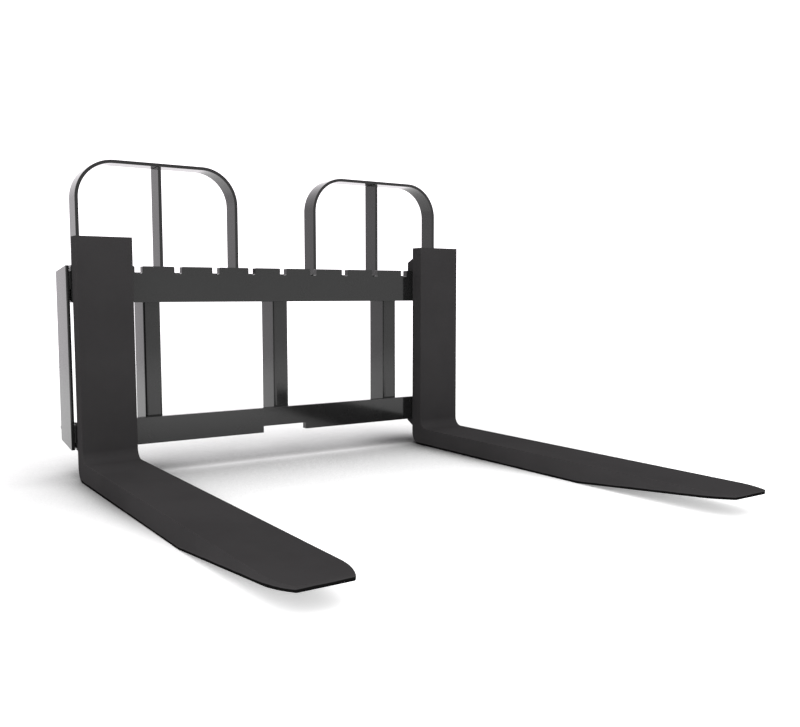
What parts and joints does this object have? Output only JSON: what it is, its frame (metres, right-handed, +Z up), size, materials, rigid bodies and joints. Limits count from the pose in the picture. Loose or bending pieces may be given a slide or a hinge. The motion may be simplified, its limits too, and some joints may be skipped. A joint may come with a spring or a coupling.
{
  "type": "pallet fork attachment",
  "caption": "Walk-through fork carriage with notched top bar, brick-guard hoops, rear loader coupling lips and hook-on forks that slide sideways and lock with lift pins.",
  "frame": {"origin": "middle of the footprint, on the floor that the fork blades rest on", "axes": "+X to the operator's right as seen from in front of the fork tips looking at the loader, +Y from the fork tips towards the loader, +Z up"},
  "size_m": [1.299, 1.4392, 0.888],
  "materials": {
    "frame_paint": "semi-gloss black powder coat",
    "fork_paint": "satin black paint",
    "zinc": "bright zinc plate",
    "spring_steel": "oiled spring steel"
  },
  "bodies": {
    "carriage": {"top_fork_bar": "frame_paint", "bottom_fork_bar": "frame_paint", "upright_left": "frame_paint", "upright_center": "frame_paint", "upright_right": "frame_paint", "end_plate_left": "frame_paint", "end_plate_right": "frame_paint", "hoop_mounting_plate": "frame_paint", "guard_hoop_left": "frame_paint", "guard_hoop_right": "frame_paint", "guard_hoop_bar_left": "frame_paint", "guard_hoop_bar_right": "frame_paint", "coupler_top_lip": "frame_paint", "lip_gusset_left": "frame_paint", "lip_gusset_center": "frame_paint", "lip_gusset_right": "frame_paint", "coupler_foot_left": "frame_paint", "coupler_foot_right": "frame_paint"},
    "fork_left": {"fork_left": "fork_paint", "fork_upper_hook_left": "fork_paint", "fork_lower_hook_left": "fork_paint", "lock_cap_left": "zinc", "lock_spring_left": "spring_steel"},
    "lock_left": {"lock_pin_left": "zinc", "lock_handle_left": "zinc"},
    "fork_right": {"fork_right": "fork_paint", "fork_upper_hook_right": "fork_paint", "fork_lower_hook_right": "fork_paint", "lock_cap_right": "zinc", "lock_spring_right": "spring_steel"},
    "lock_right": {"lock_pin_right": "zinc", "lock_handle_right": "zinc"}
  },
  "joints": [
    {"name": "fork_left_slide", "type": "slide", "parent": "carriage", "child": "fork_left", "axis": [1, 0, 0], "range_m": [0, 0.4535]},
    {"name": "lock_left_lift", "type": "slide", "parent": "fork_left", "child": "lock_left", "axis": [0, 0, 1], "range_m": [-0.018, 0], "deforming": ["lock_spring_left"]},
    {"name": "fork_right_slide", "type": "slide", "parent": "carriage", "child": "fork_right", "axis": [-1, 0, 0], "range_m": [0, 0.4535]},
    {"name": "lock_right_lift", "type": "slide", "parent": "fork_right", "child": "lock_right", "axis": [0, 0, 1], "range_m": [-0.018, 0], "deforming": ["lock_spring_right"]}
  ]
}
